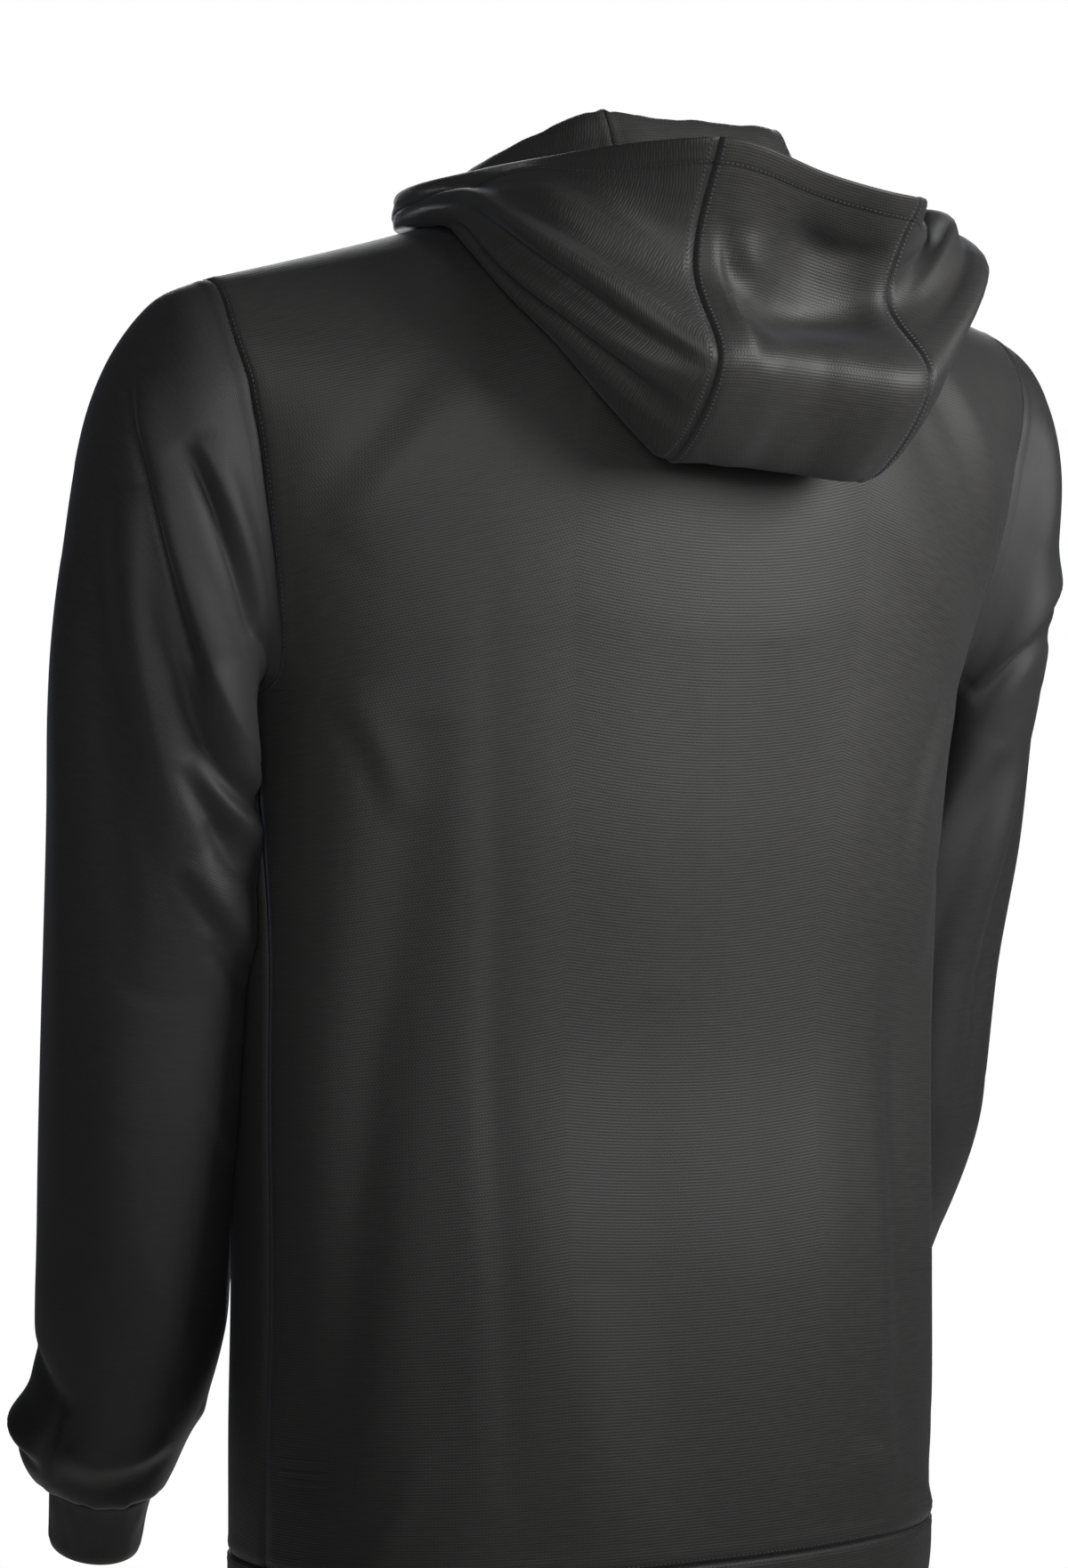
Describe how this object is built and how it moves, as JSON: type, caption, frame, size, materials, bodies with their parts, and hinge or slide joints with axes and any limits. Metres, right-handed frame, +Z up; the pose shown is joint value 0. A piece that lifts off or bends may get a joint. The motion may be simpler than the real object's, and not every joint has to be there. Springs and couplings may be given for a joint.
{
  "type": "zip up hoodie",
  "caption": "Zip-up hooded top in black polyester knit, in its worn form: long sleeves with cuffs, hem band, front zip and the hood lying back as a soft pouch.",
  "frame": {"origin": "midway between the two high points of the neck seam, where the garment hangs on the shoulders", "axes": "+X to the wearer's left, +Y to the wearer's back, +Z up"},
  "size_m": [0.59, 0.399, 0.7716],
  "materials": {
    "body": "fine polyester knit, faint sheen",
    "sleeve_cloth": "smooth polyester knit",
    "trim_cloth": "self cloth band and cuff",
    "tape": "woven zip tape",
    "zip_teeth": "moulded teeth",
    "zip_metal": "black enamel"
  },
  "bodies": {
    "garment": {"back": "body", "front_left": "body", "front_right": "body", "hem_band": "trim_cloth", "sleeve_left": "sleeve_cloth", "sleeve_right": "sleeve_cloth", "cuff_left": "trim_cloth", "cuff_right": "trim_cloth", "hood_centre": "body", "hood_left": "body", "hood_right": "body", "zip_tape_left": "tape", "zip_tape_right": "tape", "zip_chain": "zip_teeth", "zip_box": "zip_metal", "zip_slider": "zip_metal"},
    "pull_tab": {"zip_pull": "zip_metal"}
  },
  "joints": [
    {"name": "pull_tab_hinge", "type": "hinge", "parent": "garment", "child": "pull_tab", "pos_m": [0, -0.07801, -0.08922], "axis": [-1, 0, 0], "range_deg": [0, 150]}
  ]
}
